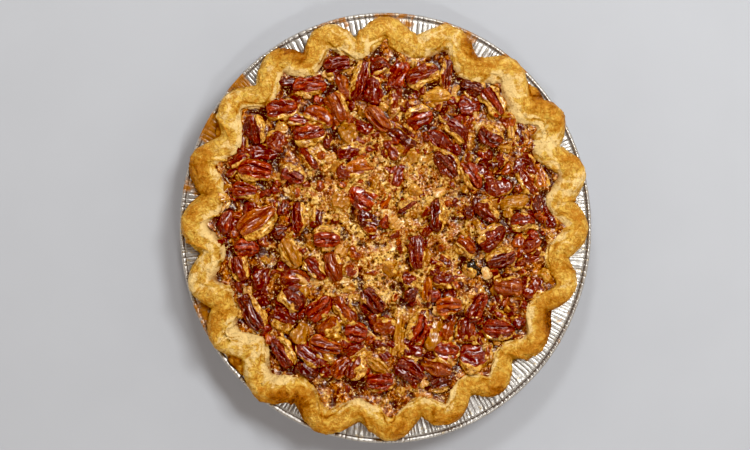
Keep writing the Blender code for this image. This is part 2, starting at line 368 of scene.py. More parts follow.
def foil_material():
    """Bright pressed foil, with baked-on syrup where the stain trait says, painted shade in its creases,
    gutter and bead edge, and painted light on its underside and outer wall.
    """
    recipe = Recipe("pressed foil", 0.3, 1.0)
    stain = recipe.between(recipe.plus(recipe.trait("stain"), recipe.grain(4)), 0.75, 1.05)
    foil = recipe.blend(recipe.grain(6, 4), paint("foil shade"), paint("foil light"))
    grease = recipe.between(recipe.grain(2.4, 3, 0.6, 0.5), 0.6, 0.68)
    foil = recipe.blend(recipe.times(grease, 0.55), foil, paint("grease"))
    # Painted shade in the creases, in the gutter and past the bead's edge.
    foil = recipe.blend(recipe.trait("crease"), foil, paint("painted crease shade"))
    # Painted light: the underside and outer wall of the tin are made paler.
    foil = recipe.blend(recipe.trait("outside"), foil, paint("foil outside painted light"))
    syrup = recipe.blend(recipe.grain(3), paint("baked syrup"), paint("thin syrup"))
    clean = recipe.math("SUBTRACT", 1.0, stain)
    recipe.feed(recipe.shader.inputs["Metallic"], recipe.times(clean, 0.78))
    return recipe.finish(recipe.blend(stain, foil, syrup), recipe.bumps(recipe.grain(1.6, 4), 0.12))


def pastry_material():
    """Baked dough: cream where it is least baked, then golden, then toasted."""
    recipe = Recipe("baked pastry", 0.45, specular=0.3)
    patches = recipe.between(recipe.grain(9, 6, 0.62, 1.2), 0.36, 0.64)
    spots = recipe.between(recipe.grain(3.4, 4, 0.6, 0.8), 0.38, 0.62)
    blotches = recipe.plus(recipe.times(patches, 0.54), recipe.times(spots, 0.26))
    bake = recipe.plus(recipe.trait("toast"), blotches)
    colour = recipe.blend(recipe.between(bake, 0.3, 0.6), paint("dough cream"), paint("pale dough"))
    colour = recipe.blend(recipe.between(bake, 0.7, 1.15), colour, paint("golden dough"))
    colour = recipe.blend(recipe.between(bake, 1.1, 1.7), colour, paint("toasted dough"))
    colour = recipe.blend(recipe.between(bake, 1.6, 2.1), colour, paint("scorched dough"))
    off_vein = recipe.math("ABSOLUTE", recipe.math("SUBTRACT", recipe.grain(4.8, 4, 0.6, 1.2), 0.5))
    veins = recipe.times(recipe.between(off_vein, 0.1, 0.0), recipe.between(bake, 0.1, 0.7))
    colour = recipe.blend(recipe.times(veins, 0.65), colour, paint("dough vein"))
    flecks = recipe.between(recipe.grain(1.9, 4, 0.65), 0.6, 0.7)
    colour = recipe.blend(recipe.times(flecks, 0.5), colour, paint("dough fleck"))
    colour = recipe.blend(recipe.trait("syrup"), colour, paint("soaked dough"))
    normal = recipe.bumps(recipe.grain(3.8, 6, 0.66, 0.6), 2.4)
    return recipe.finish(colour, recipe.bumps(recipe.grain(1.2, 2), 0.8, under=normal))


def custard_material():
    """Dark syrup, and golden foam full of burst bubbles where the foam trait says, with painted shade
    where it lies low and beside the nuts, partly painted shade in its pits and dimples, and fine flecks
    of painted shade and painted glints.
    """
    recipe = Recipe("caramel custard", 0.24, coat=0.3, coat_roughness=0.08, specular=0.3)
    mottle = recipe.grain(4, 4, 0.6, 0.5)
    foam = recipe.between(recipe.plus(recipe.trait("foam"), recipe.times(mottle, 0.9)), 0.75, 1.15)
    swirls = recipe.between(recipe.grain(2.8, 5, 0.7, 0.8), 0.42, 0.6)
    syrup = recipe.blend(swirls, paint("dark custard"), paint("light custard"))
    gold = recipe.blend(recipe.between(mottle, 0.36, 0.6), paint("dark foam"), paint("light foam"))
    amber = recipe.between(recipe.grain(6.5, 3, 0.55, 1.2), 0.46, 0.58)
    gold = recipe.blend(recipe.times(amber, 0.7), gold, paint("amber foam"))
    froth = recipe.between(recipe.grain(2.1, 4, 0.7), 0.56, 0.68)
    gold = recipe.blend(recipe.times(froth, 0.8), gold, paint("froth"))
    colour = recipe.dimpled(recipe.blend(foam, syrup, gold))
    # Painted shade where the custard lies low and beside the nuts.
    colour = recipe.blend(recipe.trait("painted_low_shade"), colour, paint("painted_low_shade"))
    # Fine flecks of painted shade and painted glints.
    colour = recipe.painted_glints_and_shade(colour, paint("custard fleck painted shade"), paint("custard fleck painted glint"), 0.95)
    bubbles = recipe.between(recipe.dots(2.3), 0.3, 0.18)
    bubbles = recipe.times(bubbles, recipe.between(recipe.grain(8, 2), 0.4, 0.55))
    # Burst bubbles darken: partly the custard's own colour, partly painted shade in the pits.
    pits = recipe.math("MAXIMUM", recipe.times(bubbles, foam), recipe.trait("pit"))
    colour = recipe.blend(pits, colour, paint("burst bubble"))
    normal = recipe.bumps(recipe.grain(1.7, 2, 0.55), 0.5)
    return recipe.finish(colour, recipe.bumps(recipe.math("SUBTRACT", 1.0, pits), 0.4, under=normal))


def pecan_material(kind):
    """Glazed nut skin, golden along its rim and where foam clings to it, with painted shade in its
    grooves, partly painted shade in its foam's dimples, and fine flecks of painted shade and painted
    glints.
    """
    recipe = Recipe(f"{kind} pecan", 0.17, coat=0.5, coat_roughness=0.04, specular=0.4)
    dark, light = (linear(colour) for colour in PECAN_SKINS[kind])
    # Painted shade: the skin is darker in its grooves.
    shaded_in_grooves = recipe.math("SUBTRACT", recipe.trait("tone"), recipe.times(recipe.trait("groove"), 0.42))
    streaks = recipe.grain(1.8, 4, 0.65, 0.6, recipe.seat())
    skin = recipe.blend(recipe.between(recipe.plus(streaks, shaded_in_grooves), 0.34, 0.84), dark, light)
    ragged = recipe.between(recipe.grain(1.9, 4), 0.35, 0.65)
    foam = recipe.blend(ragged, paint("dark clinging foam"), paint("light clinging foam"))
    foam = recipe.dimpled(foam)
    clinging = recipe.plus(recipe.trait("rim"), recipe.times(recipe.grain(3, 4, 0.65), 0.8))
    foamed = 0.0 if kind == "burnt" else recipe.between(clinging, 0.84, 0.94)
    colour = recipe.blend(foamed, skin, foam)
    # Fine flecks of painted shade and painted glints.
    colour = recipe.painted_glints_and_shade(colour, paint("nut fleck painted shade"), paint("nut fleck painted glint"), 0.5)
    return recipe.finish(colour, recipe.bumps(recipe.grain(1.7, 2, 0.5, 0.3, recipe.seat()), 0.6))


def floor_material():
    recipe = Recipe("pale worktop", 0.7)
    colour = recipe.blend(recipe.grain(50, 2), paint("worktop shade"), paint("worktop light"))
    return recipe.finish(colour)


# --- tin ---

# The tin's section in millimetres. Ring beads stiffen its base: their radii, then their section.
BASE_BEADS = (40, 74)
BASE_BEAD_SECTION = ((-2.5, 0), (-1.2, 0.45), (1.2, 0.45), (2.5, 0))
# The outside of its wall: how far it runs out and up, how it bends, and in how many rows.
WALL_RUN = 17.8
WALL_RISE = 27.4
WALL_BEND = 0.94
WALL_ROWS = 13
# The rows of its flange, underneath and on top, and its rolled bead between them.
FLANGE_UNDER = (101.5, 104.0, 107.0, 110.8)
FLANGE_OVER = (110.8, 109.5, 108.0, 106.3, 104.5, 103.0, 101.5, 100.2)
BEAD_MIDDLE = (113.3, 26.9)
BEAD_RADIUS = 1.1
BEAD_TURNS = (-160, -120, -80, -40, 0, 40, 80, 110)
BEAD_PLEATS = 0.4
# Single rows in the gutter beside the bead and on the inside of the wall.
GUTTER_ROWS = ((112.4, 27.3, 0, 0.3), (112.0, 27.4, 0, 0.5), (111.5, 27.9, 0, 0.9))
INNER_WALL_ROWS = ((99.2, 27.6, 0.5, 0.5), (92.0, 16.6, 0.4, 0), (83.8, 3.6, 0.2, 0))

# Pleats: how many, how high, how wide and strong against each other, and how much they lean.
PLEATS = 300
PLEAT_HEIGHT = 0.26 * MM
PLEAT_WIDTHS = (0.6, 1.5)
PLEAT_STRENGTHS = (0.4, 1.5)
PLEAT_LEAN = 1.1
# The points across one pleat, the first in its crease, and the slope of the facet between them.
PLEAT_STEPS = (0, 0.16, 0.42, 0.68, 0.9)
FACET_HEIGHT = 0.6
FACET_SLANT = 0.55
# How dark the painted shade in the creases is, and where the gutter and the edge of the bead lie, which
# get painted shade too.
PAINTED_CREASE_SHADES = (0.25, 1.0)
GUTTER_RADIUS = 112.2 * MM
GUTTER_HALF_WIDTH = 0.3 * MM
PAINTED_GUTTER_SHADE = 0.75
BEAD_EDGE_RADIUS = 114.3 * MM

# Syrup baked on the flange: where, how far it spreads in degrees, and how strong it is.
TIN_STAINS = (
    (150, 7, 0.6), (136, 5, 0.6), (168, 4, 0.4), (206, 8, 0.5), (52, 7, 0.55), (70, 9, 0.45),
    (88, 9, 0.45), (105, 8, 0.4), (250, 6, 0.3), (330, 14, 0.2),
)


def tin_rows():
    """Rows of the tin from its middle underneath, over the bead and back down inside.

    Each is (radius, height, how far pleats push it outwards, and upwards). The second result is
    how many of them are the base, the outside of the wall and the underside of the flange.
    """
    foot = TIN_BASE_RADIUS / MM
    top = FLANGE_HEIGHT / MM
    rows = [(1.0, 0, 0, 0)]
    for ring in BASE_BEADS:
        rows += [(ring + aside, height, 0, 0) for aside, height in BASE_BEAD_SECTION]
    rows.append((foot - 1, 0, 0, 0))
    for share in np.linspace(0, 1, WALL_ROWS):
        height = WALL_RISE * share**WALL_BEND
        rows.append((foot + WALL_RUN * share, height, 0.6 + 1.6 * share, -0.3 - 0.3 * share))
    rows += [(radius, WALL_RISE, 0, 1.0) for radius in FLANGE_UNDER]
    outside = len(rows)
    for turn in np.radians(BEAD_TURNS):
        out, up = np.cos(turn), np.sin(turn)
        place = (BEAD_MIDDLE[0] + BEAD_RADIUS * out, BEAD_MIDDLE[1] + BEAD_RADIUS * up)
        rows.append((*place, BEAD_PLEATS * out, BEAD_PLEATS * up))
    rows += GUTTER_ROWS
    rows += [(radius, top, 0, 1.0) for radius in FLANGE_OVER]
    rows += INNER_WALL_ROWS
    return np.array(rows) * (MM, MM, 1, 1), outside


def uneven_pleats():
    """The angle of every point round the tin, how far it stands out, and how dark the painted shade in
    its crease is.
    """
    chance = np.random.default_rng(21)
    widths = chance.uniform(*PLEAT_WIDTHS, PLEATS)
    starts = np.cumsum(widths) - widths
    steps = np.array(PLEAT_STEPS)
    angles = (starts[:, None] + widths[:, None] * steps) * 360 / widths.sum()
    slant = chance.uniform(-FACET_SLANT, FACET_SLANT, (PLEATS, 1))
    facet = FACET_HEIGHT + slant * (steps - 0.5)
    stands = np.where(steps == 0, -1.0, facet) * chance.uniform(*PLEAT_STRENGTHS, (PLEATS, 1))
    pressed = np.where(steps == 0, chance.uniform(*PAINTED_CREASE_SHADES, (PLEATS, 1)), 0)
    return angles.ravel(), stands.ravel(), pressed.ravel()


def spread_out(angles, rows):
    """Texture places for a grid that is closed round: its rows are rings in a disc."""
    share = np.linspace(0.04, 1, rows)[:, None]
    turn = np.radians(angles)
    return 0.5 + 0.495 * np.stack([share * np.cos(turn), share * np.sin(turn)], axis=-1)


def patches_round(where, patches):
    """How strongly any of the patches (angle, reach, amount) covers each angle."""
    covered = np.zeros(where.shape)
    for angle, reach, amount in patches:
        apart = np.abs((where - angle + 180) % 360 - 180)
        covered = np.maximum(covered, amount * (1 - smooth_step(0.4 * reach, reach, apart)))
    return covered


def make_tin():
    """The tin's rows turned round in some three hundred uneven pleats."""
    angles, stands, pressed = uneven_pleats()
    rows, outside_rows = tin_rows()
    radii, heights, outwards, upwards = (column[:, None] for column in rows.T)
    lean = noise(polar(1.0, angles, 0.0), 0.16, 31) * smooth_step(88 * MM, 112 * MM, radii)
    fading = np.clip(1 + 0.55 * noise(polar(radii, angles, heights), 4.5 * MM, 33), 0.15, 2)
    pleats = stands * PLEAT_HEIGHT * fading
    real_radii = (radii + outwards * pleats) + tin_oval(angles) * radii / TIN_RADIUS
    points = polar(real_radii, angles + PLEAT_LEAN * lean, heights + upwards * pleats)
    on_flange = smooth_step(99 * MM, 102 * MM, radii) * (heights > 27 * MM)
    # Painted shade for the creases, the gutter and past the bead's edge.
    in_gutter = np.abs(radii - GUTTER_RADIUS) < GUTTER_HALF_WIDTH
    gutter = PAINTED_GUTTER_SHADE * in_gutter + (radii > BEAD_EDGE_RADIUS)
    painted_shade_lines = np.maximum(pressed * np.clip(fading, 0, 1), gutter) * (heights > 27.2 * MM)
    # Painted light: rows under the tin and on its outer wall are made paler.
    outside = (np.arange(len(rows)) < outside_rows)[:, None] + 0 * angles
    stain = patches_round(angle_of(points), TIN_STAINS) * on_flange
    traits = {"stain": stain, "crease": painted_shade_lines, "outside": outside}
    faces, uv = ring_faces(*points.shape[:2]), spread_out(angles, len(rows))
    piece = make_piece("foil_tin", points, faces, foil_material(), traits, uv)
    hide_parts("tin")


# --- crust ---

# Where the rope is baked darker, and paler: where, how far it reaches in degrees, how strongly.
TOASTED = (
    (36, 9, 0.6), (118, 6, 0.5), (64, 5, 0.35), (165, 7, 0.3), (206, 7, 0.35), (240, 10, 0.4),
    (262, 5, 0.5), (285, 6, 0.4), (273, 30, 0.35), (318, 34, 0.4), (20, 6, 0.3), (345, 6, 0.25),
)
PALE = (
    (52, 6, 0.6), (100, 6, 0.3), (150, 8, 0.25), (180, 5, 0.3), (216, 7, 0.6), (234, 5, 0.5),
    (265, 4, 0.6), (290, 5, 0.4), (325, 6, 0.2),
)
# Where dough and syrup have run out over the flange: where, how far to the sides, how much.
RUNS = ((38, 12, 1.8), (218, 13, 1.8), (148, 5, 0.5), (330, 5, 0.3))
# Where the inside of the crust has slumped, as in the solid: where, how far inwards of the rope (mm),
# and the furthest out it lies (mm).
SLUMPS = (
    (0, 1.5, 96.0), (15, 2.5, 94.5), (33, 3.2, 95.0), (52, 3.0, 97.5), (72, 2.0, 101.0),
    (90, 1.4, 102.5), (106, 1.6, 103.0), (123, 1.5, 99.5), (141, 1.2, 98.0), (160, 2.5, 96.0),
    (175, 3.8, 95.0), (195, 2.8, 93.5), (213, 3.4, 93.0), (226, 3.8, 94.0), (236, 4.0, 99.5),
    (250, 2.0, 105.0), (272, 0.0, 103.0), (288, 0.0, 100.0), (306, -0.5, 101.0),
    (321, -0.8, 98.5), (342, -0.6, 99.5),
)
# From which shares of the rope's height the slump fades and the crust runs out to the rope again, and
# how far out it can run by the crest.
SLUMP_FADES = 0.7
SLUMP_RISES = 0.5
SLUMP_RUN = 10 * MM

CREASE_WIDTH = 0.9 * MM
CREASE_DEPTH = 1.4 * MM
CRACK_DEPTH = 0.55 * MM
FLAKE_HEIGHT = 1.5 * MM
FLAKE_DEPTH = 0.8 * MM
# The furthest out that dough runs on the flange, and the seam where it has baked onto the foil.
RUN_LIMIT = 111.3 * MM
SEAM_PLACE = 1.4 * MM
SEAM_WIDTH = 0.9 * MM
# The bakes that add up to how toasted the crust is; the one for the folds is painted shade in them.
LEAST_BAKE = -0.17
GLAZE_BAKE = 0.40
UNEVEN_BAKE = 0.50
PAINTED_FOLD_SHADE = 0.5
SYRUP_SHARE = 0.85


def flute_angles(even):
    """Where round the pie evenly spread places are, once the flutes are made uneven."""
    return even + FLUTE_START + waves(even, FLUTE_DRIFT)


def rope_middle():
    """Points close together along the middle of the fluted rope: radii and angles."""
    even = np.arange(FLUTES * 100) * 360 / (FLUTES * 100)
    angles = flute_angles(even)
    radii = ROPE_RADIUS + tin_oval(angles) + waves(angles, ROPE_DRIFT)
    return radii + ROPE_SWING * np.cos(np.radians(FLUTES * even)), angles


def rope_edge(angles, half_width, side, middle):
    """The radius where the rope ends along each direction, as a ball rolled along its middle leaves it.

    Side is 1 for its outer edge and -1 for its inner edge.
    """
    turn = np.radians(angles)
    ahead = middle[:, :1] * np.cos(turn) + middle[:, 1:2] * np.sin(turn)
    aside = (middle[:, :2] ** 2).sum(axis=1, keepdims=True) - ahead**2
    inside = half_width**2 - aside
    reached = ahead + side * np.sqrt(np.maximum(inside, 0))
    reached = np.where((inside >= 0) & (ahead > 0), reached, -side * np.inf)
    return reached.max(axis=0) if side > 0 else reached.min(axis=0)


def inner_edge(angles, half_width, rise, middle):
    """The rope's inner edge, slumped inwards below its crest and never through the tin's wall."""
    where, drawn, furthest = np.array(SLUMPS).T
    drawn = np.interp(angles, where, drawn, period=360) * MM * (1 - smooth_step(SLUMP_FADES, 1.0, rise))
    furthest = np.interp(angles, where, furthest, period=360) * MM
    edge = rope_edge(angles, half_width, -1, middle) - drawn
    limit = np.minimum(LINING_TOP_RADIUS + tin_oval(angles) + rise * DOUGH_THICKNESS, furthest)
    return np.minimum(edge, limit + SLUMP_RUN * smooth_step(SLUMP_RISES, 1.0, rise))


def rope_side(side, angles, middle):
    """The rope's rows on one side, from its foot up to just below its crest."""
    rows = []
    for turn in np.linspace(0, np.pi / 2, ROPE_ROWS + 1)[:-1]:
        rise = np.sin(turn) ** (2 / ROPE_ROUNDNESS)
        half_width = ROPE_HALF_WIDTH * np.cos(turn) ** (2 / ROPE_ROUNDNESS)
        half_width = max(half_width, 0.8 * MM)
        if side < 0:
            radii = inner_edge(angles, half_width, rise, middle)
        else:
            radii = rope_edge(angles, half_width, 1, middle)
        rows.append(polar(radii, angles, ROPE_BASE + rise * ROPE_HEIGHT))
    return rows


def crust_grid(angles):
    """The whole crust as rows: up the inside, over the rope and down the outside."""
    radii, turned_to = rope_middle()
    middle = polar(radii, turned_to, 0.0)
    crest = np.interp(angles, turned_to, radii, period=360)
    oval = tin_oval(angles)
    rows = [polar(TIN_BASE_RADIUS - DOUGH_THICKNESS + oval, angles, DOUGH_FLOOR)]
    rows += rope_side(-1, angles, middle)
    rows.append(polar(crest, angles, ROPE_BASE + ROPE_HEIGHT))
    rows += rope_side(1, angles, middle)[::-1]
    rows.append(polar(WALL_TOP_RADIUS - LINING_GAP + oval, angles, ROPE_BASE))
    rows.append(polar(TIN_BASE_RADIUS - 2 * LINING_GAP + oval, angles, DOUGH_UNDERSIDE))
    return np.stack(rows)


def creases(even, aside):
    """The folds pinched across the rope at every flute, 1 where they are deepest.

    Outer folds lie where the rope swings in, and inner ones where it swings out. Aside is how far
    each point is outside the crest.
    """
    chance = np.random.default_rng(65)
    depth = np.zeros(aside.shape)
    for side, start in ((1, 0.5), (-1, 0.0)):
        flute = even * FLUTES / 360 + start
        number = np.round(flute).astype(int) % FLUTES
        along = (flute - np.round(flute)) * 2 * np.pi * ROPE_RADIUS / FLUTES
        tilt = chance.uniform(-0.9, 0.9, FLUTES)[number]
        strength = chance.uniform(0.2, 1.0, FLUTES)[number]
        line = np.exp(-(((along - tilt * side * aside) / CREASE_WIDTH) ** 2))
        depth += strength * line * smooth_step(0.2 * MM, 3.0 * MM, side * aside)
    return depth


def flaky_layers(grid, aside):
    """Layers of dough on the rope's inner side: the share through one, and how clear they are."""
    layers = grid[..., 2] / FLAKE_HEIGHT + 0.9 * noise(grid, 7 * MM, 50)
    inner = smooth_step(-1.0 * MM, -3.0 * MM, aside)
    return layers % 1, inner * smooth_step(-0.4, 0.2, noise(grid, 14 * MM, 52))


def dough_relief(grid, even, aside, layer, flaky):
    """How far lumps, wrinkles, folds, flaky layers and thin cracks raise the skin of the rope."""
    relief = 0.85 * MM * noise(grid, 13 * MM, 41) + 0.5 * MM * layered_noise(grid, 5.5 * MM, 43)
    relief += 0.16 * MM * layered_noise(grid, 1.8 * MM, 47, 2)
    along = np.radians(even) * ROPE_RADIUS + 0 * aside
    stretched = np.stack([0.3 * along, aside, grid[..., 2]], axis=-1)
    relief += 0.3 * MM * layered_noise(stretched, 2.2 * MM, 49, 2)
    relief -= CREASE_DEPTH * creases(even, aside)
    relief += FLAKE_DEPTH * (layer - 0.5) * flaky
    cracks = 1 - smooth_step(0.0, 0.1, np.abs(noise(grid, 6 * MM, 51) + 0.5 * noise(grid, 2.4 * MM, 53)))
    relief -= CRACK_DEPTH * cracks * smooth_step(-0.2, 0.5, noise(grid, 15 * MM, 55))
    return relief


def run_out(shaped, where):
    """How far the foot of the rope has run out over the flange at each point."""
    rows = len(shaped)
    foot = np.zeros((rows, 1))
    foot[ROPE_ROWS + 2 : rows - 2, 0] = np.linspace(0, 1, ROPE_ROWS) ** 5
    ragged = 1 + 0.2 * noise(polar(1.0, where[0], 0.0), 0.05, 57)
    room = np.maximum(0, RUN_LIMIT + tin_oval(where) - np.hypot(shaped[..., 0], shaped[..., 1]))
    return foot * np.minimum(patches_round(where, RUNS), 1) * room * np.clip(ragged, 0, 1.15)


def shape_dough(grid, even, aside):
    """The crust with its relief pushed in and its dough run out, and how browned that makes it."""
    shown = smooth_step(ROPE_BASE, ROPE_BASE + 1.2 * MM, grid[..., 2])
    layer, flaky = flaky_layers(grid, aside)
    relief = dough_relief(grid, even, aside, layer, flaky)
    shaped = grid + ring_normals(grid) * (relief * shown)[..., None]
    where = angle_of(grid)
    run = run_out(shaped, where)
    shaped = shaped + polar(1.0, where, 0.0) * run[..., None]
    seam = np.exp(-(((run - SEAM_PLACE) / SEAM_WIDTH) ** 2))
    heaped = smooth_step(0, 3 * MM, run) * (0.5 + 1.1 * layered_noise(shaped, 4 * MM, 58))
    shaped[..., 2] += (heaped - 0.9 * seam) * MM
    browned = 0.8 * smooth_step(0.5 * MM, 3 * MM, run) + 1.1 * seam
    return shaped, browned + 0.6 * flaky * smooth_step(0.5, 0.9, layer) * shown


def make_crust():
    """The crust, and how toasted and how soaked with syrup it is; the toast includes painted shade in
    the pinched folds.
    """
    even = np.arange(ROPE_COLUMNS) * 360 / ROPE_COLUMNS
    angles = flute_angles(even)
    grid = crust_grid(angles)
    radii = np.hypot(grid[..., 0], grid[..., 1])
    grid, browned = shape_dough(grid, even, radii - radii[CREST_ROW])
    where = angle_of(grid)
    radii = np.hypot(grid[..., 0], grid[..., 1])
    aside = radii - radii[CREST_ROW]
    glazed = smooth_step(-5.6 * MM, -3.8 * MM, aside + 4.0 * MM * layered_noise(grid, 10 * MM, 62))
    toast = LEAST_BAKE + GLAZE_BAKE * glazed + UNEVEN_BAKE * layered_noise(grid, 15 * MM, 61)
    toast += patches_round(where, TOASTED) * smooth_step(-3 * MM, 2 * MM, aside)
    toast -= patches_round(where, PALE) * (1 - smooth_step(-3.5 * MM, 0.5 * MM, aside))
    # Painted shade: the pinched folds are made darker.
    toast += browned + PAINTED_FOLD_SHADE * creases(even, aside)
    depth = (FILLING_EDGE - grid[..., 2]) / MM + 0.7 * noise(grid, 5 * MM, 63)
    syrup = SYRUP_SHARE * smooth_step(-2.4, 0.3, depth) * (aside < 0)
    traits = {"toast": toast, "syrup": syrup}
    faces, uv = ring_faces(*grid.shape[:2]), spread_out(angles, len(grid))
    piece = make_piece("baked_crust", grid, faces, pastry_material(), traits, uv)
    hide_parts("crust")


# --- pecans ---

# How each numbered pecan half of the solids looks, where it isn't simply red.
PECAN_KINDS = {
    "orange": (6, 11, 16, 33, 48),
    "brown": (13, 24, 26, 30, 36, 39, 47),
    "golden": (14, 24),
    "dark": (20, 43, 19, 30, 34, 38, 23, 41),
}

# Smaller pieces between them: x, y, turn in degrees, length, width and looks. Lengths in millimetres.
PIECES = (
    (-50, 79, 0, 17, 4, "dark"), (-77, 47, 85, 14, 6, "dark"), (-66, 41, 3, 16, 7, "red"),
    (-59, 47, 60, 11, 9, "brown"), (-38, 54, 20, 10, 8, "brown"), (-46, 58, -10, 14, 6, "red"),
    (-36, 60, -25, 16, 9, "brown"), (-79, 37, 30, 12, 8, "red"), (-24, 76, 110, 15, 8, "orange"),
    (-20, 52, 30, 10, 9, "golden"), (-12, 54, 0, 11, 8, "red"), (-14, 47, 0, 8, 6, "brown"),
    (-20, 41, 8, 12, 7, "red"), (-6, 74, 100, 15, 9, "red"), (6, 84, 60, 16, 11, "red"),
    (-3, 87, 20, 10, 9, "dark"), (5.5, 70, 78, 13, 6.5, "brown"), (9, 48.5, 155, 18, 7, "dark"),
    (3, 42, 130, 12, 7, "brown"), (30, 46, 145, 17, 8, "red"), (45, 57, 70, 8, 5, "brown"),
    (73, 51, 100, 12, 6, "dark"), (68, 54, 90, 13, 4, "golden"), (47, 76, 160, 13, 7, "dark"),
    (33, 83, 85, 17, 5, "dark"), (45, 66, 20, 12, 10, "red"), (28, 70, 10, 14, 9, "golden"),
    (52, 34, 40, 8, 7, "dark"), (69, 14, 15, 16, 7.5, "golden"), (82, 13, 80, 10, 7, "dark"),
    (77, -9, 38, 15, 8, "brown"), (77, -18, 20, 13, 6, "brown"), (61, 22, 10, 14, 8, "brown"),
    (76, 25, 125, 16, 7, "brown"), (84, 28, 100, 14, 6.5, "orange"), (72, 34, 90, 10, 6, "red"),
    (12, 12, 35, 11, 8, "red"), (-12, 17, -30, 16, 12, "red"), (-24, 15, 0, 10, 9, "golden"),
    (0, 15, 62, 11, 7, "brown"), (-9, 5, -8, 14, 7.5, "dark"), (-36.5, 8, 88, 13, 6, "dark"),
    (-85, 3, 75, 13, 9, "red"), (-66, -28, 60, 13, 10, "red"), (-49, -27, -5, 16, 9, "brown"),
    (-56, 11, 80, 9, 7, "dark"), (-57, -2, 30, 9, 6, "dark"), (-41, 38, 125, 14, 6, "red"),
    (-22, 30, 0, 9, 8, "brown"), (-14, 32, 10, 15, 9, "orange"), (6.5, 29, 70, 13, 7.5, "red"),
    (-55, -49, -18, 14, 10, "red"), (-22, -44, 128, 17, 8, "brown"), (-31, -53, 60, 12, 11, "orange"),
    (-46, -57, 70, 12, 8, "golden"), (-41, -68, 142, 17, 8, "red"), (-33, -68, -20, 11, 6, "golden"),
    (-43, -77, -30, 13, 8, "dark"), (-24, -75, 55, 13, 7, "brown"), (-16, -66, 40, 12, 9, "brown"),
    (0, -53, -20, 12, 9, "orange"), (-2.5, -62.5, -5, 9, 6.5, "dark"),
    (-4.5, -74, -30, 13, 6, "golden"), (7.5, -55, 90, 24, 5, "golden"), (26, -57, 80, 18, 7, "golden"),
    (34, -54, 75, 14, 6, "orange"), (43, -55, 80, 13, 8, "brown"), (79, -33, 50, 12, 10, "brown"),
    (32, -28, 0, 13, 8, "red"), (22.5, -33, 95, 14, 5.5, "orange"), (13, -28, 20, 8, 8, "red"),
    (14, -36, 60, 9, 6, "dark"), (33, -66, -15, 13, 8, "red"), (28, -75, -10, 17, 9, "orange"),
    (15, -67, 0, 11, 8, "red"), (48, -69, 0, 16, 12, "red"), (31, -84, 15, 14, 7, "dark"),
    (49, -22, -40, 12, 6, "burnt"), (-74.5, 22.5, 0, 5.5, 5, "cream"), (-21, -29, -10, 7, 5, "cream"),
    (-38, -30, 20, 9, 6, "cream"), (-46, -27, -30, 9, 6, "cream"), (-18, 85, 0, 6, 4, "cream"),
    (-30, 38, 30, 7, 5, "cream"), (7, 2, 60, 7, 5, "cream"), (-15, -37, 20, 6, 4, "cream"),
    (-8, -58, -30, 12, 3, "cream"), (47, -37, 0, 6, 5, "cream"), (-56, 54, 0, 7, 6, "cream"),
)

# Chopped crumbs in the gaps: how far out they lie, their lengths (mm), and the looks they are drawn
# from on syrup and on foam.
CRUMBS = 430
CRUMB_REACH = 90 * MM
CRUMB_LENGTHS = (3.5, 8.0)
CRUMB_KINDS = ("red", "red", "red", "red", "dark", "brown", "brown", "golden", "golden", "cream")
FOAM_CRUMB_KINDS = ("brown", "brown", "brown", "golden", "golden", "red", "red", "cream")

# A pecan half: its dome, its belly and how far it is sunk, as shares of its thickness, and its two
# lengthwise grooves, in shares of half its width and of its thickness.
DOME = 0.62
BELLY = 0.38
SINK = 0.12
GROOVES = (-0.40, 0.40)
GROOVE_WIDTH = 0.14
GROOVE_DEPTH = 0.26

# Rows and columns of each mesh, and how torn the broken pieces are.
HALF_MESH = (44, 48)
PIECE_MESH = (28, 28)
CRUMB_MESH = (13, 14)
PIECE_TORN = 0.16
CRUMB_TORN = 0.42
# How much larger than its measures each is made, because its ends and sides are rounded off.
HALF_GROWTH = (1.05, 1.22, 1.02)
PIECE_GROWTH = (1.08, 1.18)
# The rolls that are tried to find how a solid half lies.
ROLLS = np.arange(-18, 18.5, 1.5)


def filling_height(x, y):
    """The level of the custard: a low dome."""
    share = np.hypot(x, y) / LINING_TOP_RADIUS
    return FILLING_EDGE + FILLING_DOME * (1 - share * share)


def pecan_grooves(along, across, sway, chance):
    """How deep the two lengthwise grooves are at each point."""
    groove = np.zeros(np.broadcast(along, across).shape)
    for middle in GROOVES:
        off = across + 0 * along - middle * (1 + 0.25 * chance.uniform(-1, 1)) - sway
        groove += np.exp(-((off / GROOVE_WIDTH) ** 2)) * chance.uniform(0.6, 1.2)
    return groove * (1 - np.abs(along) ** 4)


def pecan_rim(across, up, seats, chance):
    """Where foam clings to a nut: along its sides, on one more than the other, and underneath."""
    side = chance.choice((-1, 1))
    bare = np.where(across * side > 0, chance.uniform(0.4, 1.05), chance.uniform(0.9, 1.5))
    ragged = np.abs(across) + 0.3 * noise(seats, 0.6, 75)
    return np.clip(smooth_step(bare - 0.25, bare + 0.15, ragged) * (up > 0) + 0.9 * (up < -0.3), 0, 1)


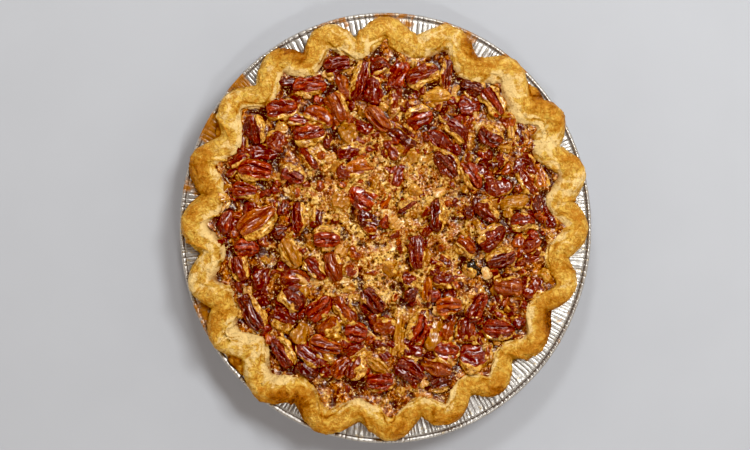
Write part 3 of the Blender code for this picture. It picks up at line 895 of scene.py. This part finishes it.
def pecan_surface(size, mesh, seed, torn=0.0):
    """One pecan half, dome up and long way along X: its points, and the traits of its skin.

    Size is its length, width and thickness, mesh its rows and columns, and torn how broken it is.
    """
    length, width, thickness = size
    rows, columns = mesh
    chance = np.random.default_rng(seed)
    along = -np.cos(np.linspace(0.02, np.pi - 0.02, rows))[:, None]
    turn = np.linspace(0, 2 * np.pi, columns, endpoint=False)[None, :]
    fullness = (1 - np.abs(along) ** chance.uniform(2.4, 4.0)) ** 0.5 * (1 - 0.12 * along)
    along = np.clip(along, -chance.uniform(0.82, 1.05), chance.uniform(0.82, 1.05))
    sway = 0.10 * np.sin(2.2 * along + chance.uniform(0, 6))
    across = np.sign(np.cos(turn)) * np.abs(np.cos(turn)) ** 0.85
    up = np.sin(turn)
    raised = np.where(up > 0, DOME * np.abs(up) ** 0.8, -BELLY * np.abs(up) ** 0.7)
    groove = pecan_grooves(along, across, sway, chance) * (up > 0)
    seats = np.stack([along * 1.3 + 0 * turn, across * 1.2 + 0 * along, raised + 0 * along], axis=-1)
    seats += chance.uniform(0, 40, 3)
    wrinkles = noise(seats * (0.6, 3.0, 1.0), 0.34, 71) * 0.24 + noise(seats, 0.9, 73) * 0.14
    swell = 1 + wrinkles * 0.9 + torn * noise(seats, 0.6, 74)
    height = thickness * (raised * np.abs(fullness) ** 0.75 * swell - GROOVE_DEPTH * groove)
    places = [
        along * length / 2 * (1 + 0.03 * wrinkles),
        across * fullness * width / 2 * swell + sway * width * 0.25,
        height - SINK * thickness,
    ]
    points = np.stack(places, axis=-1)
    rim = pecan_rim(across, up, seats, chance)
    tone = np.full(rim.shape, chance.uniform(-0.14, 0.14))
    seat = (points + chance.uniform(0, 1, 3)) * (0.3, 1, 1)
    return points, {"rim": rim, "groove": groove, "tone": tone, "seat": seat}


def turned(turn, pitch, roll):
    """A matrix that rolls about X, pitches about Y and then turns about Z."""
    angles = np.radians((turn, pitch, roll))
    (cz, cy, cx), (sz, sy, sx) = np.cos(angles), np.sin(angles)
    about_z = np.array([[cz, -sz, 0], [sz, cz, 0], [0, 0, 1]])
    about_y = np.array([[cy, 0, sy], [0, 1, 0], [-sy, 0, cy]])
    about_x = np.array([[1, 0, 0], [0, cx, -sx], [0, sx, cx]])
    return about_z @ about_y @ about_x


def solid_place(node):
    """Where a pecan solid is: its middle, its axes as a matrix, and its length and width.

    Its length is its longest direction. Its roll is the one at which both sides look the same.
    """
    corners = np.unique(np.round([tuple(v.co) for v in node.data.vertices], 6), axis=0)
    mean = corners.mean(axis=0)
    length_axis = np.linalg.svd(corners - mean)[2][0]
    length_axis = length_axis * np.sign(length_axis @ (1, 0.001, 0))
    turn = np.degrees(np.arctan2(length_axis[1], length_axis[0]))
    pitch = -np.degrees(np.arcsin(length_axis[2]))
    best = None
    for roll in ROLLS:
        axes = turned(turn, pitch, roll)
        local = (corners - mean) @ axes
        mirrored = local * (1, -1, 1)
        miss = np.linalg.norm(mirrored[:, None] - local[None], axis=-1).min(axis=1).sum()
        if best is None or miss < best[0]:
            best = (miss, axes, local)
    _, axes, local = best
    low, high = local.min(axis=0), local.max(axis=0)
    length, width, _ = high - low
    return mean + axes @ ((high + low) / 2), axes, length, width


def pecan_kind(number):
    """The looks of a numbered half."""
    for kind, numbers in PECAN_KINDS.items():
        if number in numbers:
            return kind
    return "red"


def place_pecans():
    """Every pecan half and smaller piece: name, middle, axes, length, width and looks.

    Only the numbered halves have a name, that of their solid.
    """
    places = []
    for name in sorted(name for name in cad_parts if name.startswith("pecan")):
        middle, axes, length, width = solid_place(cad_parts[name])
        places.append((name, middle, axes, length, width, pecan_kind(int(name[-2:]))))
    chance = np.random.default_rng(77)
    for x, y, turn, length, width, kind in PIECES:
        x, y = x * MM, y * MM
        middle = np.array([x, y, filling_height(x, y) + chance.uniform(-0.6, 0.8) * MM])
        axes = turned(turn, chance.uniform(-8, 8), chance.uniform(-22, 22))
        places.append((None, middle, axes, length * MM, width * MM, kind))
    return places


def is_covered(x, y, places):
    """Whether any of the larger pieces lies there."""
    for _, middle, axes, length, width, _ in places:
        across = axes[:2, :2].T @ (x - middle[0], y - middle[1])
        if np.hypot(2 * across[0] / length, 2 * across[1] / width) < 0.9:
            return True
    return False


def scatter_crumbs(places):
    """Places for the chopped pecan that fills the gaps, on none of the larger pieces."""
    chance = np.random.default_rng(55)
    crumbs = []
    while len(crumbs) < CRUMBS:
        turn, away = chance.uniform(0, 2 * np.pi), CRUMB_REACH * chance.uniform(0, 1) ** 0.5
        x, y = away * np.cos(turn), away * np.sin(turn)
        foam = foam_share(np.array(x), np.array(y))
        if is_covered(x, y, places) or foam > chance.uniform(0.3, 1.6):
            continue
        length = chance.uniform(*CRUMB_LENGTHS) * MM
        width = length * chance.uniform(0.45, 0.8)
        middle = np.array([x, y, filling_height(x, y) + chance.uniform(-0.2, 1.0) * MM])
        axes = turned(chance.uniform(0, 360), chance.uniform(-20, 20), chance.uniform(-40, 40))
        kind = chance.choice(FOAM_CRUMB_KINDS if foam > 0.5 else CRUMB_KINDS)
        crumbs.append((None, middle, axes, length, width, kind))
    return crumbs


def make_pecans(places, skins):
    """Each numbered half as a piece of its own."""
    for number, (name, middle, axes, length, width, kind) in enumerate(places, 1):
        size = np.array((length, width, PECAN_THICKNESS)) * HALF_GROWTH
        points, traits = pecan_surface(size, HALF_MESH, 100 + number)
        points = middle + points @ axes.T
        piece = make_piece(f"{name}_half", points, ring_faces(*HALF_MESH), skins[kind], traits)
        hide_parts(name)


def join_pecans(label, places, skins, mesh, torn):
    """Many smaller pieces, joined by how they look."""
    grid_size = mesh[0] * mesh[1]
    for kind in PECAN_SKINS:
        chosen = [place for place in places if place[5] == kind]
        if not chosen:
            continue
        points, faces, uvs, traits = [], [], [], {}
        for number, (_, middle, axes, length, width, _) in enumerate(chosen):
            first = number * grid_size
            thickness = min(0.85 * width, SMALL_PECAN_THICKNESS)
            size = (length * PIECE_GROWTH[0], width * PIECE_GROWTH[1], thickness)
            made, found = pecan_surface(size, mesh, 300 + first, torn)
            points.append((middle + made @ axes.T).reshape(-1, 3))
            faces.append(ring_faces(*mesh) + first)
            uvs.append(tile_uv(mesh, number, len(chosen)))
            for trait, values in found.items():
                traits.setdefault(trait, []).append(values.reshape(grid_size, -1))
        traits = {trait: np.concatenate(values) for trait, values in traits.items()}
        points, faces, uvs = (np.concatenate(parts) for parts in (points, faces, uvs))
        piece = make_piece(f"{kind}_pecan_{label}", points, faces, skins[kind], traits, uvs)


def tile_uv(mesh, number, count):
    """Texture places for one of several equal grids, each in a square of its own."""
    side = int(np.ceil(np.sqrt(count)))
    row, column = divmod(number, side)
    rows, columns = mesh
    disc = spread_out(np.arange(columns) * 360 / columns, rows)
    return ((disc * 0.96 + 0.02 + (column, row)) / side).reshape(-1, 2)


# --- custard ---

# The larger burst bubbles: x, y and radius in millimetres.
BIG_BUBBLES = (
    (-42, 23, 1.5), (-41, 15, 1.3), (-54, 4, 1.4), (-32, 4, 1.2), (-29, 28, 1.1),
    (-33, -17, 1.3), (-6, 24, 1.0), (6, -15, 1.2), (12, -17, 1.4), (-1, -27, 1.3),
    (3, -32, 1.4), (-4, -33, 1.3), (8, -30, 1.3), (-14, -40, 1.2), (6, 12, 1.0), (24, 33, 1.1),
)
# The smaller ones: how many, and their least radius and what is added to it at most (mm).
SMALL_BUBBLES = 700
SMALL_BUBBLE_RADIUS = 0.45
SMALL_BUBBLE_RANGE = 0.65

# The custard's grid, and how far it goes on under the crust.
CUSTARD_REACH = 102 * MM
CUSTARD_OVERLAP = 2.2 * MM
# Custard drawn up round a nut, and the painted shade beside it: how far out they lie and how wide they
# are.
MOUND_REACH = 1.7 * MM
SHADE_BESIDE_PLACE = 1.3 * MM
SHADE_BESIDE_WIDTH = 0.9 * MM
# Custard that has crept up the crust: how high and how far in.
EDGE_RISE = 0.9 * MM
EDGE_REACH = 1.4 * MM


def foam_share(x, y):
    """How foamy the custard is: most in the middle, fading through ragged patches."""
    spots = np.stack([x, y, np.full(x.shape, 5.0 * MM)], axis=-1)
    apart = np.hypot((x - FOAM_CENTRE[0]) / FOAM_RADII[0], (y - FOAM_CENTRE[1]) / FOAM_RADII[1])
    return smooth_step(1.35, 0.75, apart + 0.28 * layered_noise(spots, 14 * MM, 81))


def mounds(x, y, places):
    """Custard drawn up round every pecan: its extra height, and how much painted shade lies beside one.
    """
    height = np.zeros(x.shape)
    shade_beside = np.zeros(x.shape)
    for _, middle, axes, length, width, _ in places:
        close = np.hypot(x - middle[0], y - middle[1]) < length / 2 + 6 * MM
        heading = axes[:2, 0] / np.linalg.norm(axes[:2, 0])
        along = (x[close] - middle[0]) * heading[0] + (y[close] - middle[1]) * heading[1]
        across = (y[close] - middle[1]) * heading[0] - (x[close] - middle[0]) * heading[1]
        reach = np.hypot(2 * along / length, 2 * across / width)
        outside = (reach - 1) * width / 2
        drawn = np.exp(-((np.maximum(outside, 0) / MOUND_REACH) ** 2))
        height[close] = np.maximum(height[close], drawn * (1.0 - 0.25 * (reach < 0.8)))
        beside = np.exp(-(((outside - SHADE_BESIDE_PLACE) / SHADE_BESIDE_WIDTH) ** 2))
        shade_beside[close] = np.maximum(shade_beside[close], beside)
    return height, shade_beside


def burst_bubbles(x, y, foam):
    """Pits where bubbles burst: how deep, and how dark, each point is; the darkness is partly the
    custard's own colour and partly painted shade.
    """
    chance = np.random.default_rng(91)
    depth = np.zeros(x.shape)
    dark = np.zeros(x.shape)
    bubbles = [(bx * MM, by * MM, radius * MM) for bx, by, radius in BIG_BUBBLES]
    for _ in range(SMALL_BUBBLES):
        turn, reach = chance.uniform(0, 2 * np.pi), chance.uniform(0, 1) ** 0.6
        bx = FOAM_CENTRE[0] + 1.2 * FOAM_RADII[0] * reach * np.cos(turn)
        by = FOAM_CENTRE[1] + 1.2 * FOAM_RADII[1] * reach * np.sin(turn)
        radius = SMALL_BUBBLE_RADIUS + SMALL_BUBBLE_RANGE * chance.uniform(0, 1) ** 3
        bubbles.append((bx, by, radius * MM))
    for bx, by, radius in bubbles:
        close = (np.abs(x - bx) < 2 * radius) & (np.abs(y - by) < 2 * radius)
        away = np.hypot(x[close] - bx, y[close] - by) / radius
        cup = smooth_step(1.15, 0.5, away)
        depth[close] = np.maximum(depth[close], cup * radius * 1.1)
        dark[close] = np.maximum(dark[close], cup)
    return depth * foam, dark * smooth_step(0.2, 0.6, foam)


def custard_plane():
    """A fine flat grid, kept where it is inside the crust.

    It gives each point's x and y, its distance from the crust and its texture place, and the quads.
    """
    reach = np.arange(-CUSTARD_REACH, CUSTARD_REACH, CUSTARD_CELL)
    x, y = (side.ravel() for side in np.meshgrid(reach, reach))
    radii, turned_to = rope_middle()
    angles = np.arange(720) / 2
    edge = inner_edge(angles, ROPE_HALF_WIDTH * 0.9, WATERLINE, polar(radii, turned_to, 0.0))
    here = angle_of(np.stack([x, y], axis=-1))
    gap = np.interp(here, angles, edge, period=360) - np.hypot(x, y)
    kept = gap > -CUSTARD_OVERLAP
    numbers = np.where(kept, np.cumsum(kept) - 1, -1).reshape(len(reach), len(reach))
    corners = [numbers[:-1, :-1], numbers[:-1, 1:], numbers[1:, 1:], numbers[1:, :-1]]
    quads = np.stack(corners, axis=-1).reshape(-1, 4)
    quads = quads[(quads >= 0).all(axis=1)]
    uv = np.stack([x, y], axis=-1) / (2.02 * reach.max()) + 0.5
    return x[kept], y[kept], gap[kept], uv[kept], quads


def make_custard(places):
    """The custard's surface: mounds round the nuts, lumps, foam and burst bubbles, with painted shade
    where it lies low and beside the nuts.
    """
    x, y, gap, uv, quads = custard_plane()
    spots = np.stack([x, y, np.zeros(len(x))], axis=-1)
    foam = foam_share(x, y)
    drawn, shade_beside = mounds(x, y, places)
    ragged = np.clip(0.75 + 0.6 * layered_noise(spots, 4 * MM, 83), 0.15, 1.4)
    height = filling_height(x, y) + drawn * ragged * (0.9 + 0.9 * foam) * MM
    lumps = layered_noise(spots, 4.5 * MM, 85)
    height += 0.9 * MM * lumps + 0.3 * MM * foam * layered_noise(spots, 2.2 * MM, 87, 2)
    height += EDGE_RISE * np.exp(-((np.maximum(gap, 0) / EDGE_REACH) ** 2))
    depth, dark = burst_bubbles(x, y, foam)
    foamed = np.clip(foam + 0.5 * smooth_step(-0.2, 0.5, layered_noise(spots, 8 * MM, 89)), 0, 1)
    # Painted shade: darker where the custard lies low and beside the nuts.
    level = lumps + 0.2 + 0.35 * foam - 0.55 * shade_beside * (1 - 0.6 * foam)
    traits = {"foam": foamed, "pit": dark, "painted_low_shade": smooth_step(0.3, -0.4, level)}
    points = np.stack([x, y, height - depth], axis=-1)
    piece = make_piece("custard", points, quads, custard_material(), traits, uv)
    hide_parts("filling")


# --- floor, light and camera ---


def make_floor():
    """A plain square worktop, which isn't part of the pie."""
    mesh = bpy.data.meshes.new("worktop")
    side = WORKTOP_REACH
    corners = [(-side, -side, 0), (side, -side, 0), (side, side, 0), (-side, side, 0)]
    mesh.from_pydata(corners, [], [(0, 1, 2, 3)])
    mesh.materials.append(floor_material())
    floor = bpy.data.objects.new("worktop", mesh)
    bpy.context.scene.collection.objects.link(floor)


def add_light(name, place, size, watts):
    """A square soft light that faces the pie."""
    lamp = bpy.data.lights.new(name, "AREA")
    lamp.size = size
    lamp.energy = watts
    light = bpy.data.objects.new(name, lamp)
    light.location = place
    light.rotation_euler = (-Vector(place)).to_track_quat("-Z", "Y").to_euler()
    bpy.context.scene.collection.objects.link(light)


def make_light():
    """The sky and the lamps."""
    world = bpy.data.worlds.new("pale room")
    world.use_nodes = True
    tree = world.node_tree
    heading = tree.nodes.new("ShaderNodeSeparateXYZ")
    tree.links.new(tree.nodes.new("ShaderNodeTexCoord").outputs["Generated"], heading.inputs[0])
    overhead = tree.nodes.new("ShaderNodeMapRange")
    tree.links.new(heading.outputs["Z"], overhead.inputs["Value"])
    for setting, value in SKY_RAMP:
        overhead.inputs[setting].default_value = value
    background = tree.nodes["Background"]
    background.inputs["Color"].default_value = SKY_COLOUR
    tree.links.new(overhead.outputs["Result"], background.inputs["Strength"])
    bpy.context.scene.world = world
    for lamp in LAMPS:
        add_light(*lamp)


def make_camera():
    """A camera straight above the pie, as far away as its lens needs for the picture's width."""
    camera_data = bpy.data.cameras.new("camera")
    camera_data.lens = CAMERA_LENS
    camera_data.sensor_width = SENSOR_WIDTH
    camera = bpy.data.objects.new("camera", camera_data)
    away = PICTURE_WIDTH * CAMERA_LENS / SENSOR_WIDTH
    camera.location = (*PICTURE_CENTRE, FLANGE_HEIGHT + away)
    bpy.context.scene.collection.objects.link(camera)
    bpy.context.scene.camera = camera


def grade_picture():
    view = bpy.context.scene.view_settings
    view.view_transform = "Standard"
    view.look = LOOK
    view.use_curve_mapping = True
    view.curve_mapping.black_level = BLACK_LEVEL


def main():
    grade_picture()
    make_tin()
    make_crust()
    places = place_pecans()
    skins = {kind: pecan_material(kind) for kind in PECAN_SKINS}
    make_pecans([place for place in places if place[0]], skins)
    pieces = [place for place in places if not place[0]]
    join_pecans("pieces", pieces, skins, PIECE_MESH, PIECE_TORN)
    join_pecans("crumbs", scatter_crumbs(places), skins, CRUMB_MESH, CRUMB_TORN)
    make_custard(places)
    make_floor()
    make_light()
    make_camera()


main()
